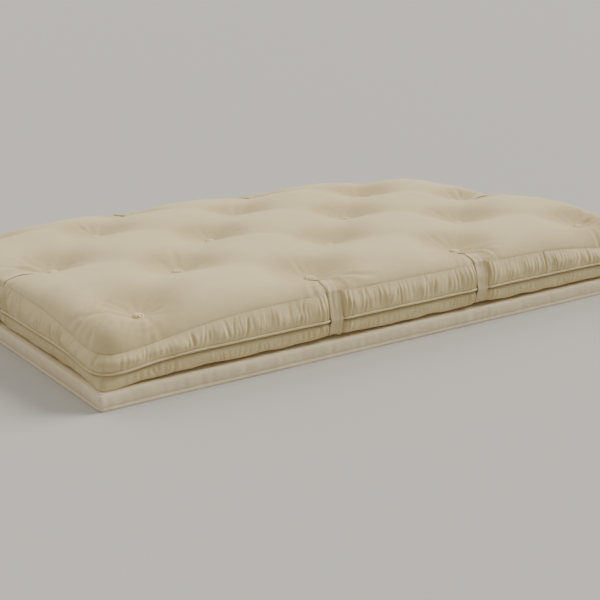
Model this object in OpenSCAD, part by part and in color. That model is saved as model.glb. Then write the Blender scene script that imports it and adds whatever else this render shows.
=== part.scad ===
// Hand-tufted cotton futon mattress lying on its thin cotton-covered base pad.
// Origin: middle of the base pad's underside. +X runs along the length, +Y across, +Z up.
// All sizes are in millimetres.

/* [Base pad] */
// Length of the base pad, the size that the whole bed is sold by
pad_length = 1905; // [1800:5:2050]
// Width of the base pad
pad_width = 1372; // [900:1:1930]
// Height of the base pad
pad_height = 46; // [30:1:90]
// Plan radius of the base pad's upright corners
pad_corner_r = 14; // [6:1:40]
// Height of the hem seam above the base pad's underside
pad_hem_height = 8; // [6:1:14]

/* [Mattress body] */
// How far the mattress side stands in from the base pad side
side_inset = 11; // [8:1:30]
// Height of the mattress from its underside to the crest of its hills
body_height = 202; // [170:1:230]
// Height of the welt above the mattress underside
welt_height = 52; // [35:1:60]
// Height of the top seam above the mattress underside
seam_height = 119; // [100:1:135]
// How far the top seam stands in from the side
seam_inset = 16; // [8:1:30]
// How far the upper band bulges out past the welt line
band_bulge = 4; // [0:1:8]
// Plan radius of the mattress corners
corner_r = 52; // [40:1:90]
// Width of the shoulder that rises from the top seam to the crest
shoulder_w = 150; // [110:5:220]
// Thickness of the cotton ticking
ticking_t = 2; // [1:0.5:3]

/* [Tufts] */
// Distance between two tufts of a full row, along the length
tuft_pitch_x = 516; // [420:1:540]
// Distance between two full rows, across the width
tuft_pitch_y = 549; // [400:1:560]
// Depth of a tuft's pit below the crest
pit_depth = 50; // [30:1:70]
// Radius of a tuft's pit at the crest
pit_mouth_r = 135; // [90:5:160]
// Depth of a tuft's dimple in the underside
dimple_depth = 11; // [10:1:16]
// Radius of a tuft's dimple at the underside
dimple_mouth_r = 60; // [40:2:80]
// Radius of a cotton tuft
tuft_r = 17; // [12:1:19]
// Height of a cotton tuft
tuft_h = 9; // [6:0.5:9.5]
// Radius of the tufting twine
twine_r = 1.2; // [0.8:0.1:1.6]

/* [Trim] */
// Outer radius of the welt
welt_r = 5; // [4:0.5:7]
// Radius of the cord inside the welt
welt_cord_r = 3; // [2:0.5:3.5]
// How far the welt's middle stands out from the side
welt_proud = 3.5; // [3:0.5:4]
// Width of an edge strap
strap_w = 38; // [25:1:50]
// Thickness of an edge strap
strap_t = 1.6; // [1:0.1:1.6]
// Radius of the seam threads
thread_r = 0.8; // [0.5:0.1:1]

/* [Hidden] */
$fn = 48;

// Running gap between the loose mattress and the base pad, and between two parts that only touch
lift_gap = 0.4;
fit_gap = 0.05;
// Twine holes are a little wider than the twine
hole_gap = 0.2;
// Straight pieces in the pit and shoulder curves
curve_steps = 8;

half_l = pad_length / 2 - side_inset;
half_w = pad_width / 2 - side_inset;
body_z = pad_height + lift_gap + strap_t;
welt_z = body_z + welt_height;
seam_z = body_z + seam_height;
crest_z = body_z + body_height;
pit_floor_z = crest_z - pit_depth;
dimple_floor_z = body_z + dimple_depth;
pit_floor_r = tuft_r + 3;
lower_tuck = 7;
lower_round = 12;
bulge_z = welt_z + 0.45 * (seam_z - welt_z);

// Heights at which one cotton batt ends and the next begins
batt_z = [body_z + ticking_t, body_z + 30, body_z + 58, body_z + 86, body_z + 114,
          pit_floor_z - ticking_t - 8, crest_z + 1];

// Full rows of four tufts, with rows of three between them
full_row_tufts = [for (j = [-1:1], i = [-1.5:1:1.5]) [i * tuft_pitch_x, j * tuft_pitch_y]];
between_row_tufts = [for (j = [-0.5, 0.5], i = [-1:1]) [i * tuft_pitch_x, j * tuft_pitch_y]];
tufts = concat(full_row_tufts, between_row_tufts);

ticking_colour = "#cfc6b0";
strap_colour = "#c2b594";
thread_colour = "#bfb391";
batting_colour = "#ece7d8";
tuft_colour = "#d6c58f";

// ---- Outlines ----

module rounded_plan(l, w, r) {
    for (x = [-1, 1], y = [-1, 1])
        translate([x * (l - r), y * (w - r)]) circle(r = r);
    square([2 * l, 2 * (w - r)], center = true);
    square([2 * (l - r), 2 * w], center = true);
}

// Side wall from the corner axis outwards, drawn inset by i
function wall_profile(i) = [
    [0, body_z + i],
    [corner_r - lower_tuck - i, body_z + i],
    [corner_r - i, body_z + lower_round],
    [corner_r - i, welt_z],
    [corner_r + band_bulge - i, bulge_z],
    [corner_r - seam_inset - i, seam_z],
    [0, seam_z],
];

// The same wall on both sides of a straight run whose corner axes are at -c and +c
function wall_section(c, i) = let (right = wall_profile(i), n = len(right)) concat(
    [for (k = [1:n - 2]) [c + right[k][0], right[k][1]]],
    [for (k = [n - 2:-1:1]) [-c - right[k][0], right[k][1]]]
);

// Shoulder from the top seam to the crest on both sides, drawn inset by i
function crown_section(half, i) = let (c = half - seam_inset - shoulder_w) concat(
    [for (k = [0:curve_steps]) let (a = 90 * k / curve_steps)
        [c + (shoulder_w - i) * cos(a), seam_z + (crest_z - seam_z - i) * sin(a)]],
    [for (k = [curve_steps:-1:0]) let (a = 90 * k / curve_steps)
        [-c - (shoulder_w - i) * cos(a), seam_z + (crest_z - seam_z - i) * sin(a)]]
);

module along_x(length) {
    rotate([90, 0, 90]) linear_extrude(length, center = true) children();
}

module along_y(length) {
    rotate([90, 0, 0]) linear_extrude(length, center = true) children();
}

// ---- Solids of the mattress body, each inset by i ----

module wall_block(i) {
    for (x = [-1, 1], y = [-1, 1])
        translate([x * (half_l - corner_r), y * (half_w - corner_r), 0])
            rotate_extrude() polygon(wall_profile(i));
    along_x(2 * (half_l - corner_r)) polygon(wall_section(half_w - corner_r, i));
    along_y(2 * (half_w - corner_r)) polygon(wall_section(half_l - corner_r, i));
}

module crown(i) {
    intersection() {
        translate([0, 0, seam_z])
            linear_extrude(crest_z)
                rounded_plan(half_l - seam_inset - i, half_w - seam_inset - i,
                             corner_r - seam_inset - i);
        along_x(pad_length) polygon(crown_section(half_w, i));
        along_y(pad_width) polygon(crown_section(half_l, i));
    }
}

// A pit is steep at its tuft and opens out smoothly to the crest
module pit(i) {
    depth = crest_z - pit_floor_z;
    rotate_extrude() polygon(concat(
        [[0, pit_floor_z - i]],
        [for (k = [0:curve_steps]) let (t = k / curve_steps)
            [pit_floor_r + i + (pit_mouth_r - pit_floor_r) * t,
             pit_floor_z - i + depth * sin(90 * t)]],
        [[pit_mouth_r + i, crest_z + 9], [0, crest_z + 9]]
    ));
}

module dimple(i) {
    rotate_extrude() polygon([
        [0, body_z - 4],
        [dimple_mouth_r + i, body_z - 4],
        [dimple_mouth_r + i, body_z + i],
        [pit_floor_r + i, dimple_floor_z + i],
        [0, dimple_floor_z + i],
    ]);
}

module at_tufts() {
    for (p = tufts) translate([p[0], p[1], 0]) children();
}

module pits(i) {
    at_tufts() pit(i);
}

module dimples(i) {
    at_tufts() dimple(i);
}

module twine_holes() {
    at_tufts() translate([0, 0, body_z])
        cylinder(r = twine_r + hole_gap, h = body_height);
}

module slab(z_low, z_high) {
    translate([-pad_length, -pad_width, z_low])
        cube([2 * pad_length, 2 * pad_width, z_high - z_low]);
}

function is_long(side) = side == "front" || side == "back";

// A piece of one side is drawn for the right side and turned round to its own
function side_turn(side) = side == "right" ? 0 : side == "back" ? 90 : side == "left" ? 180 : 270;

// One side of a rounded rectangle, swept from the outline of its section, where x is the
// distance from the corner axis. It ends at the corner mitres.
module side_strip(side, l, w, r) {
    out = is_long(side) ? w : l;
    run = is_long(side) ? l : w;
    rotate([0, 0, side_turn(side)]) {
        translate([out - r, 0, 0]) along_y(2 * (run - r)) children();
        for (flip = [0, 1]) mirror([0, flip, 0]) translate([out - r, run - r, 0])
            rotate_extrude(angle = 45) children();
    }
}

// A round bar bent into a rounded rectangle: half sizes, corner radius, height, bar radius
module ring_bar(l, w, r, z, bar_r) {
    translate([0, 0, z]) {
        for (x = [-1, 1], y = [-1, 1])
            translate([x * (l - r), y * (w - r), 0])
                rotate([0, 0, x > 0 ? (y > 0 ? 0 : 270) : (y > 0 ? 90 : 180)])
                    rotate_extrude(angle = 90) translate([r, 0]) circle(r = bar_r);
        for (y = [-1, 1]) translate([r - l, y * w, 0])
            rotate([0, 90, 0]) cylinder(r = bar_r, h = 2 * (l - r));
        for (x = [-1, 1]) translate([x * l, r - w, 0])
            rotate([-90, 0, 0]) cylinder(r = bar_r, h = 2 * (w - r));
    }
}

// The welt sits in the seam between the two bands, most of it proud of them
module welt_ring(bar_r) {
    ring_bar(half_l + welt_proud, half_w + welt_proud, corner_r + welt_proud, welt_z, bar_r);
}

module seam_ring(bar_r) {
    ring_bar(half_l - seam_inset, half_w - seam_inset, corner_r - seam_inset, seam_z, bar_r);
}

// ---- Base pad ----

module pad_block(i, z_low, z_high) {
    translate([0, 0, z_low]) linear_extrude(z_high - z_low)
        rounded_plan(pad_length / 2 - i, pad_width / 2 - i, pad_corner_r - i);
}

// The hem thread lies in the face of the bands, flush with them
module hem_ring(bar_r) {
    ring_bar(pad_length / 2 - thread_r, pad_width / 2 - thread_r, pad_corner_r - thread_r,
             pad_hem_height, bar_r);
}

module base_core() {
    color(batting_colour) pad_block(ticking_t, ticking_t, pad_height - ticking_t);
}

module base_bottom_panel() {
    color(ticking_colour) pad_block(0, 0, ticking_t);
}

module base_top_panel() {
    color(ticking_colour) pad_block(0, pad_height - ticking_t, pad_height);
}

module base_band(side) {
    r = pad_corner_r;
    color(ticking_colour) side_strip(side, pad_length / 2, pad_width / 2, r)
        difference() {
            translate([r - ticking_t, ticking_t]) square([ticking_t, pad_height - 2 * ticking_t]);
            translate([r - thread_r, pad_hem_height]) circle(r = thread_r + fit_gap);
        }
}

module base_hem_thread() {
    color(thread_colour) hem_ring(thread_r);
}

// ---- Mattress ----

module bottom_panel() {
    color(ticking_colour) difference() {
        union() {
            intersection() {
                wall_block(0);
                slab(body_z, body_z + ticking_t);
            }
            intersection() {
                dimples(ticking_t);
                slab(body_z, body_z + body_height);
            }
        }
        dimples(0);
        twine_holes();
    }
}

module top_panel() {
    color(ticking_colour) difference() {
        crown(0);
        difference() {
            crown(ticking_t);
            pits(ticking_t);
        }
        pits(0);
        twine_holes();
        seam_ring(thread_r + fit_gap);
    }
}

// Layers 1 to 5 are cut by the side wall, and layer 6 fills the crown
module cotton_batt(n) {
    color(batting_colour) difference() {
        intersection() {
            union() {
                wall_block(ticking_t);
                if (n == 6) crown(ticking_t);
            }
            slab(batt_z[n - 1], batt_z[n]);
        }
        if (n == 1) dimples(ticking_t);
        if (n == 6) pits(ticking_t);
        if (n == 6) seam_ring(thread_r + fit_gap);
        twine_holes();
    }
}

// A band's section, with a groove for the welt along the edge that meets it
module band_outline(z_low, z_high) {
    difference() {
        intersection() {
            polygon(wall_profile(0));
            translate([0, z_low]) square([2 * corner_r, z_high - z_low]);
        }
        polygon(wall_profile(ticking_t));
        translate([corner_r + welt_proud, welt_z]) circle(r = welt_r + fit_gap);
        translate([corner_r - seam_inset, seam_z]) circle(r = thread_r + fit_gap);
    }
}

module lower_band(side) {
    color(ticking_colour) side_strip(side, half_l, half_w, corner_r)
        band_outline(body_z + ticking_t, welt_z);
}

module upper_band(side) {
    color(ticking_colour) side_strip(side, half_l, half_w, corner_r)
        band_outline(welt_z, seam_z);
}

module welt_cord() {
    color(batting_colour) welt_ring(welt_cord_r - 2 * fit_gap);
}

module welt_cover() {
    color(ticking_colour) difference() {
        welt_ring(welt_r);
        welt_ring(welt_cord_r);
    }
}

module top_seam_thread() {
    color(thread_colour) seam_ring(thread_r);
}

// One cotton tuft, flat below and domed above, with a hole for its twine
module tuft() {
    rotate_extrude() polygon(concat(
        [[twine_r + hole_gap, 0]],
        [for (k = [0:curve_steps]) let (a = 90 * k / (curve_steps + 1))
            [tuft_r * cos(a), tuft_h * (0.25 + 0.75 * sin(a)) * (k > 0 ? 1 : 0)]],
        [[twine_r + hole_gap, tuft_h]]
    ));
}

module top_tufts() {
    color(tuft_colour) at_tufts() translate([0, 0, pit_floor_z]) tuft();
}

module bottom_tufts() {
    color(tuft_colour) at_tufts() translate([0, 0, dimple_floor_z]) mirror([0, 0, 1]) tuft();
}

module tuft_twine() {
    low = dimple_floor_z - tuft_h;
    color(thread_colour) at_tufts() translate([0, 0, low])
        cylinder(r = twine_r, h = pit_floor_z + tuft_h - low);
}

// Skin of the mattress between insets 0 and -t, with the welt under it raised
module outer_skin(t) {
    difference() {
        union() {
            wall_block(-t);
            crown(-t);
            welt_ring(welt_r + t);
        }
        wall_block(0);
        difference() {
            crown(0);
            pits(0);
        }
        pits(-t);
        dimples(-t);
        welt_ring(welt_r + fit_gap);
        seam_ring(thread_r + fit_gap);
    }
}

// Strap from a top tuft over the edge to the tuft underneath: along is its place on its
// side, and tuft_at is the tuft's distance from the middle of the mattress
module strap(side, along, tuft_at) {
    start = tuft_at + pit_floor_r + 4;
    color(strap_colour) intersection() {
        outer_skin(strap_t);
        rotate([0, 0, side_turn(side)])
            translate([start, along - strap_w / 2, body_z - strap_t])
                cube([pad_length, strap_w, body_height + 20]);
    }
}

module front_left_strap() { strap("front", -tuft_pitch_x / 2, tuft_pitch_y); }
module front_right_strap() { strap("front", tuft_pitch_x / 2, tuft_pitch_y); }
module back_left_strap() { strap("back", tuft_pitch_x / 2, tuft_pitch_y); }
module back_right_strap() { strap("back", -tuft_pitch_x / 2, tuft_pitch_y); }
module left_end_strap() { strap("left", 0, 1.5 * tuft_pitch_x); }
module right_end_strap() { strap("right", 0, 1.5 * tuft_pitch_x); }

// ---- Nodes ----

base_core();
base_bottom_panel();
base_top_panel();
base_band("front");  // base_front_band
base_band("back");  // base_back_band
base_band("left");  // base_left_band
base_band("right");  // base_right_band
base_hem_thread();
bottom_panel();
top_panel();
cotton_batt(1);  // cotton_batt_1
cotton_batt(2);  // cotton_batt_2
cotton_batt(3);  // cotton_batt_3
cotton_batt(4);  // cotton_batt_4
cotton_batt(5);  // cotton_batt_5
cotton_batt(6);  // cotton_batt_6
lower_band("front");  // front_lower_band
lower_band("back");  // back_lower_band
lower_band("left");  // left_lower_band
lower_band("right");  // right_lower_band
upper_band("front");  // front_upper_band
upper_band("back");  // back_upper_band
upper_band("left");  // left_upper_band
upper_band("right");  // right_upper_band
welt_cord();
welt_cover();
top_seam_thread();
top_tufts();
bottom_tufts();
tuft_twine();
front_left_strap();
front_right_strap();
back_left_strap();
back_right_strap();
left_end_strap();
right_end_strap();
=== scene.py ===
"""Futon mattress on its base pad: the looks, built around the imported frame. Lengths are in metres."""

import math

import bpy
import numpy as np
from mathutils import Matrix, Vector


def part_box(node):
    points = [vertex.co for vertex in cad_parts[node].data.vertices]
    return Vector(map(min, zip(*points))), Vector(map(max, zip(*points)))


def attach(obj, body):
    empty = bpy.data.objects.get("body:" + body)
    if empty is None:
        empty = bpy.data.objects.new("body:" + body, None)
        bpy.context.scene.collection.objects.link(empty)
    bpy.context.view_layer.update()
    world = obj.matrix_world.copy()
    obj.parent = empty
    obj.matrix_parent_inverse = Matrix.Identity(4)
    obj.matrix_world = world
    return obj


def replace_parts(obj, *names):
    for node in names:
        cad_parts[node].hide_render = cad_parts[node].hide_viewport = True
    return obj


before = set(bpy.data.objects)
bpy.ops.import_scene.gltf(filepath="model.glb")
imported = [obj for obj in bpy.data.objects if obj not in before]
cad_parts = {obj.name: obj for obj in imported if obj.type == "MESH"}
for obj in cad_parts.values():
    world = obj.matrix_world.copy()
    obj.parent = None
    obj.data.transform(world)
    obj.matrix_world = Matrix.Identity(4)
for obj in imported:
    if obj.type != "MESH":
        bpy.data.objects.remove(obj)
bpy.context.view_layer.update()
rng = np.random.default_rng(11)

# ---- Places and sizes taken from the frame ----

TWINE_R = 0.0012
cover_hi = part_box("base_top_panel")[1]
PAD_HALF = np.array([cover_hi.x, cover_hi.y])
PAD_TOP = cover_hi.z
welt_lo, welt_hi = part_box("welt_cover")
WELT_Z = (welt_lo.z + welt_hi.z) / 2
seam_lo, seam_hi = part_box("top_seam_thread")
SEAM_Z = (seam_lo.z + seam_hi.z) / 2
BODY_HALF = np.array([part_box("right_lower_band")[1].x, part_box("back_lower_band")[1].y])
BODY_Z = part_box("bottom_panel")[0].z
CREST_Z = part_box("top_panel")[1].z
PIT_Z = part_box("top_tufts")[0].z
DIMPLE_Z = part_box("bottom_tufts")[1].z
twine_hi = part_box("tuft_twine")[1]
PITCH_X = (twine_hi.x - TWINE_R) / 1.5
PITCH_Y = twine_hi.y - TWINE_R
STRAP_HALF = (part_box("front_left_strap")[1].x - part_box("front_left_strap")[0].x) / 2

TUFTS = [(i * PITCH_X, j * PITCH_Y) for j in (-1, 0, 1) for i in (-1.5, -0.5, 0.5, 1.5)]
TUFTS += [(i * PITCH_X, j * PITCH_Y) for j in (-0.5, 0.5) for i in (-1, 0, 1)]

# ---- Shape of the casing ----

AXIS_INSET = 0.105       # from the welt line in to the axes that the corners turn about
SEAM_INSET = 0.013       # from the welt line in to the top seam
SHOULDER = AXIS_INSET - SEAM_INSET
WELT_R = 0.0034
CORNER_TOP, CORNER_WELT, CORNER_LOW = 2.7, 3.5, 11.0   # superellipse exponents of the corners
AXIS_RECT = BODY_HALF - AXIS_INSET
SEAM_DROP, WELT_DROP, EDGE_DROP = 0.045, 0.017, 0.004   # how far the seams and the edge sink at corners
SEAM_LIFT = 0.004
SEAM_REACH, WELT_REACH, EDGE_REACH = 0.25, 0.12, 0.09


def smooth(x):
    x = np.clip(x, 0.0, 1.0)
    return x * x * (3 - 2 * x)


def waves(x, y, shortest, longest, count=18):
    """Smooth seeded noise of about unit size, with wavelengths from shortest to longest."""
    total = np.zeros(np.broadcast(x, y).shape)
    for _ in range(count):
        length = shortest * (longest / shortest) ** rng.random()
        turn, phase = rng.random(2) * 2 * math.pi
        k = 2 * math.pi / length
        total += np.sin(k * (math.cos(turn) * x + math.sin(turn) * y) + phase)
    return total / math.sqrt(count / 2)


def corner_radius(theta, power):
    """Radius of a superellipse corner of semi-axis 1 in direction theta."""
    c, s = np.abs(np.cos(theta)), np.abs(np.sin(theta))
    return (c**power + s**power) ** (-1 / power)


COLUMN = 0.0025            # spacing of the columns of points along the sides
CORNER_COLUMNS = 22        # columns from a corner to the start of its side
SIDES = ("front", "right", "back", "left")


def loop_columns(rect, radius, counts, corner_columns):
    """Columns round a rounded rectangle, anticlockwise from its front left corner: each side's corner
    axes, outward directions and distances along, and the whole way round."""
    sides, along = {}, 0.0
    corner = math.pi / 4 * radius
    for k, side in enumerate(SIDES):
        run = rect[k % 2] * 2
        out = math.radians(270 + 90 * k)
        turn = np.linspace(0, math.pi / 4, corner_columns + 1)
        straight = np.linspace(0, 1, counts[k % 2] + 1)
        share = np.concatenate([np.zeros(corner_columns), straight, np.ones(corner_columns)])
        theta = out + np.concatenate([turn[:-1] - math.pi / 4, 0 * straight, turn[1:]])
        o = np.array([math.cos(out), math.sin(out)])
        r = np.array([-o[1], o[0]])
        centre = o * rect[(k + 1) % 2] + np.outer(2 * share - 1, r * run / 2)
        s = along + np.concatenate([turn[:-1] * radius, corner + np.linspace(0, run, len(straight)),
                                    corner + run + turn[1:] * radius])
        sides[side] = (centre, theta, s)
        along = s[-1]
    return sides, along


SIDE_COLUMNS = [int(round(2 * half / COLUMN)) for half in AXIS_RECT]
PERIMETER, AROUND = loop_columns(AXIS_RECT, AXIS_INSET, SIDE_COLUMNS, CORNER_COLUMNS)
CORNERS = [PERIMETER[side][2][0] for side in SIDES]


def wrap(ds, around=AROUND):
    """Signed distance along a loop, the short way round."""
    return (ds + around / 2) % around - around / 2


def near_corner(s, reach, corners=CORNERS, around=AROUND):
    """1 at a corner of a loop, falling off within about a reach."""
    return sum(np.exp(-(wrap(s - c, around) / reach) ** 2) for c in corners)


def place_along(x, y, rect, radius, sides):
    """Distance along a loop of plan points outside the rectangle of its corner axes."""
    q = np.stack([np.clip(x, -rect[0], rect[0]), np.clip(y, -rect[1], rect[1])], -1)
    d = np.stack([x, y], -1) - q
    theta = np.arctan2(d[..., 1], d[..., 0])
    out = np.round((theta - math.radians(270)) / (math.pi / 2)) % 4
    s = np.zeros(x.shape)
    for k, side in enumerate(SIDES):
        angle = math.radians(270 + 90 * k)
        r = np.array([-math.sin(angle), math.cos(angle)])
        turn = (theta - angle + math.pi) % (2 * math.pi) - math.pi
        here = sides[side][2][0] + math.pi / 4 * radius + rect[k % 2] + q @ r + turn * radius
        s = np.where(out == k, here, s)
    return s


def along_of(x, y):
    """Distance along the mattress's perimeter of plan points near its rim."""
    return place_along(x, y, AXIS_RECT, AXIS_INSET, PERIMETER)


# Straps: side, place along the perimeter, tuft and outward direction
def strap_places():
    places = {}
    for name, side, tuft in (
        ("front_left", "front", (-PITCH_X / 2, -PITCH_Y)),
        ("front_right", "front", (PITCH_X / 2, -PITCH_Y)),
        ("right_end", "right", (1.5 * PITCH_X, 0.0)),
        ("back_right", "back", (PITCH_X / 2, PITCH_Y)),
        ("back_left", "back", (-PITCH_X / 2, PITCH_Y)),
        ("left_end", "left", (-1.5 * PITCH_X, 0.0)),
    ):
        k = SIDES.index(side)
        angle = math.radians(270 + 90 * k)
        out = np.array([math.cos(angle), math.sin(angle)])
        edge = np.array(tuft) * np.abs([out[1], out[0]]) + out * BODY_HALF * np.abs(out)
        places[name] = {"side": side, "tuft": np.array(tuft), "out": out,
                        "s": float(along_of(edge[:1], edge[1:])[0])}
    return places


STRAPS = strap_places()
PRESS_FLAT, PRESS_REACH = 0.0175, 0.031    # from a strap's middle to where its groove rises and ends
SWELL_AT, SWELL_WIDTH, SWELL = 0.046, 0.018, 0.28


def strap_press(s):
    """1 under a strap, falling to 0 beside it and a little below where the casing swells past it."""
    total = np.zeros(s.shape)
    for strap in STRAPS.values():
        x = np.abs(wrap(s - strap["s"]))
        total += 1 - smooth((x - PRESS_FLAT) / (PRESS_REACH - PRESS_FLAT))
        total -= SWELL * np.exp(-(((x - SWELL_AT) / SWELL_WIDTH) ** 2))
    return total


# ---- Puckers: gathered folds that run up the side bands ----

def periodic_noise(shortest, longest, count, around=AROUND):
    """Seeded smooth noise that closes on itself round a loop."""
    turns = np.unique(np.round(around / np.geomspace(longest, shortest, count)))
    phases = rng.random(len(turns)) * 2 * math.pi
    size = rng.uniform(0.5, 1, len(turns)) / math.sqrt(len(turns) / 2)
    return lambda s: sum(a * np.sin(2 * math.pi * k * s / around + p)
                         for a, k, p in zip(size, turns, phases))


def fold_list(spacing, width, depth, strong_share):
    """Seeded folds along the perimeter: place, half width, depth, lean and where each starts and ends."""
    folds, s = [], 0.0
    patch = periodic_noise(0.12, 0.7, 8)
    while s < AROUND:
        strong = rng.random() < strong_share
        size = depth * (rng.uniform(1.5, 2.3) if strong else rng.uniform(0.3, 1.15))
        size *= np.clip(0.85 + 0.32 * patch(s), 0.45, 1.3)
        folds.append((s, width * rng.uniform(0.55, 1.5), size, rng.normal(0, 0.0045),
                      rng.uniform(-0.3, 0.2), rng.uniform(0.8, 1.3)))
        s += spacing * rng.uniform(0.45, 1.6)
    for strap in STRAPS.values():
        for side, gap in ((-1, 0.024), (1, 0.025), (1, 0.037), (-1, 0.036), (1, 0.052), (-1, 0.050)):
            folds.append((strap["s"] + side * gap, width * rng.uniform(0.8, 1.2),
                          depth * rng.uniform(1.0, 1.6), side * 0.003, -0.3, 1.3))
    return folds


def pucker(s, v, folds):
    """Offset of the cloth at places s (columns) and heights v from 0 to 1 (rows)."""
    total = np.zeros((len(s), len(v)))
    for place, width, depth, lean, start, end in folds:
        near = np.abs(wrap(s - place)) < 6 * width + abs(lean)
        if not near.any():
            continue
        x = (wrap(s[near] - place)[:, None] - lean * (v[None, :] - 0.5) * 2) / width
        form = 0.55 * (np.exp(-((x - 1.7) ** 2)) + np.exp(-((x + 1.7) ** 2))) - np.exp(-(x**2))
        span = smooth((v - start) / 0.3) * (1 - smooth((v - end + 0.3) / 0.3))
        total[near] += depth * form * span
    return total


UPPER_FOLDS = fold_list(0.0130, 0.0038, 0.0016, 0.10)
LOWER_FOLDS = fold_list(0.0150, 0.0036, 0.0019, 0.08)


def seam_z(s):
    return SEAM_Z + SEAM_LIFT - SEAM_DROP * near_corner(s, SEAM_REACH)


def welt_z(s):
    return WELT_Z - WELT_DROP * near_corner(s, WELT_REACH)


# ---- Meshes ----

def normals_of(grid):
    """Unit normals of a grid of points, u by v."""
    n = np.cross(np.gradient(grid, axis=0), np.gradient(grid, axis=1))
    return n / np.maximum(np.linalg.norm(n, axis=-1, keepdims=True), 1e-12)


def quads(nu, nv, flip=False, start=0):
    """Faces of a grid of points, u by v."""
    a = (np.arange(nu - 1)[:, None] * nv + np.arange(nv - 1)[None, :]).ravel()
    f = np.stack([a, a + nv, a + nv + 1, a + 1], 1) + start
    return f[:, ::-1] if flip else f


def make_object(name, verts, faces, weave=None, body="mattress", slot=None, material=None):
    """An object from arrays of vertices and faces, with its weave coordinates, body and material; the slot
    is not used.
    """
    mesh = bpy.data.meshes.new(name)
    verts = np.asarray(verts, float).reshape(-1, 3)
    mesh.vertices.add(len(verts))
    mesh.vertices.foreach_set("co", verts.astype(np.float32).ravel())
    mesh.loops.add(faces.size)
    mesh.loops.foreach_set("vertex_index", faces.astype(np.int32).ravel())
    mesh.polygons.add(len(faces))
    mesh.polygons.foreach_set("loop_start", np.arange(0, faces.size, faces.shape[1], dtype=np.int32))
    mesh.update(calc_edges=True)
    mesh.validate()
    mesh.shade_smooth()
    if weave is not None:
        # The weave attribute holds cloth coordinates and, in its third part, the share of painted shade
        attribute = mesh.attributes.new("weave", "FLOAT_VECTOR", "POINT")
        attribute.data.foreach_set("vector", np.asarray(weave, np.float32).reshape(-1, 3).ravel())
    if material is not None:
        mesh.materials.append(material)
    ob = bpy.data.objects.new(name, mesh)
    bpy.context.scene.collection.objects.link(ob)
    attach(ob, body)
    return ob


def slab(name, outer, inner, weave=None, **how):
    """A closed solid between two grids of points, u by v, and the run of points along its rim."""
    nu, nv = outer.shape[:2]
    count = nu * nv
    rim = np.concatenate([np.arange(nu) * nv, (nu - 1) * nv + np.arange(1, nv),
                          (nu - 1 - np.arange(1, nu)) * nv + nv - 1, nv - 1 - np.arange(1, nv - 1)])
    after = np.roll(rim, -1)
    edge = np.stack([rim, rim + count, after + count, after], 1)
    faces = np.concatenate([quads(nu, nv), quads(nu, nv, flip=True, start=count), edge])
    verts = np.concatenate([outer.reshape(-1, 3), inner.reshape(-1, 3)])
    return make_object(name, verts, faces, weave, **how), rim


def cloth_sheet(name, grid, weave, thickness, **how):
    """A closed thin sheet whose outer face is the grid of points, u by v."""
    n = normals_of(grid)
    for i, near_i in ((0, 1), (-1, -2)):
        for j, near_j in ((0, 1), (-1, -2)):
            n[i, j] = n[near_i, near_j]
    ob, rim = slab(name, grid, grid - n * thickness, np.concatenate([weave.reshape(-1, 3)] * 2), **how)
    sharpen(ob, rim, grid.shape[0] * grid.shape[1])
    return ob


def sharpen(ob, rim, count):
    """Marks the cut edge of a sheet as sharp, so that its outer face shades up to the edge."""
    mesh = ob.data
    ends = np.zeros(len(mesh.edges) * 2, np.int32)
    mesh.edges.foreach_get("vertices", ends)
    ends = ends.reshape(-1, 2)
    place = np.full(2 * count, -1)
    place[rim] = np.arange(len(rim))
    place[rim + count] = np.arange(len(rim)) + 4 * len(rim)
    a, b = place[ends[:, 0]], place[ends[:, 1]]
    gap = np.abs(a - b)
    sharp = (a >= 0) & (b >= 0) & ((gap == 1) | (gap == len(rim) - 1))
    flags = mesh.attributes.new("sharp_edge", "BOOLEAN", "EDGE")
    flags.data.foreach_set("value", sharp)


def tube(path, radius, sides=8, closed=True, up=None):
    """Vertices and faces of a round tube along a path of points."""
    path = np.asarray(path, float)
    if closed:
        t = np.roll(path, -1, 0) - np.roll(path, 1, 0)
    else:
        t = np.gradient(path, axis=0)
    t /= np.linalg.norm(t, axis=1, keepdims=True)
    up = np.array([0, 0, 1.0]) if up is None else np.asarray(up, float)
    side = np.cross(t, up)
    side /= np.linalg.norm(side, axis=1, keepdims=True)
    top = np.cross(side, t)
    a = np.arange(sides) * 2 * math.pi / sides
    ring = np.cos(a)[None, :, None] * side[:, None, :] + np.sin(a)[None, :, None] * top[:, None, :]
    radius = np.broadcast_to(radius, len(path))[:, None, None]
    verts = (path[:, None, :] + ring * radius).reshape(-1, 3)
    n = len(path)
    i = np.arange(n if closed else n - 1)
    j = np.arange(sides)
    a0 = (i[:, None] * sides + j[None, :]).ravel()
    a1 = (i[:, None] * sides + (j[None, :] + 1) % sides).ravel()
    b0 = (((i[:, None] + 1) % n) * sides + j[None, :]).ravel()
    b1 = (((i[:, None] + 1) % n) * sides + (j[None, :] + 1) % sides).ravel()
    return verts, np.stack([a0, a1, b1, b0], 1)


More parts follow.
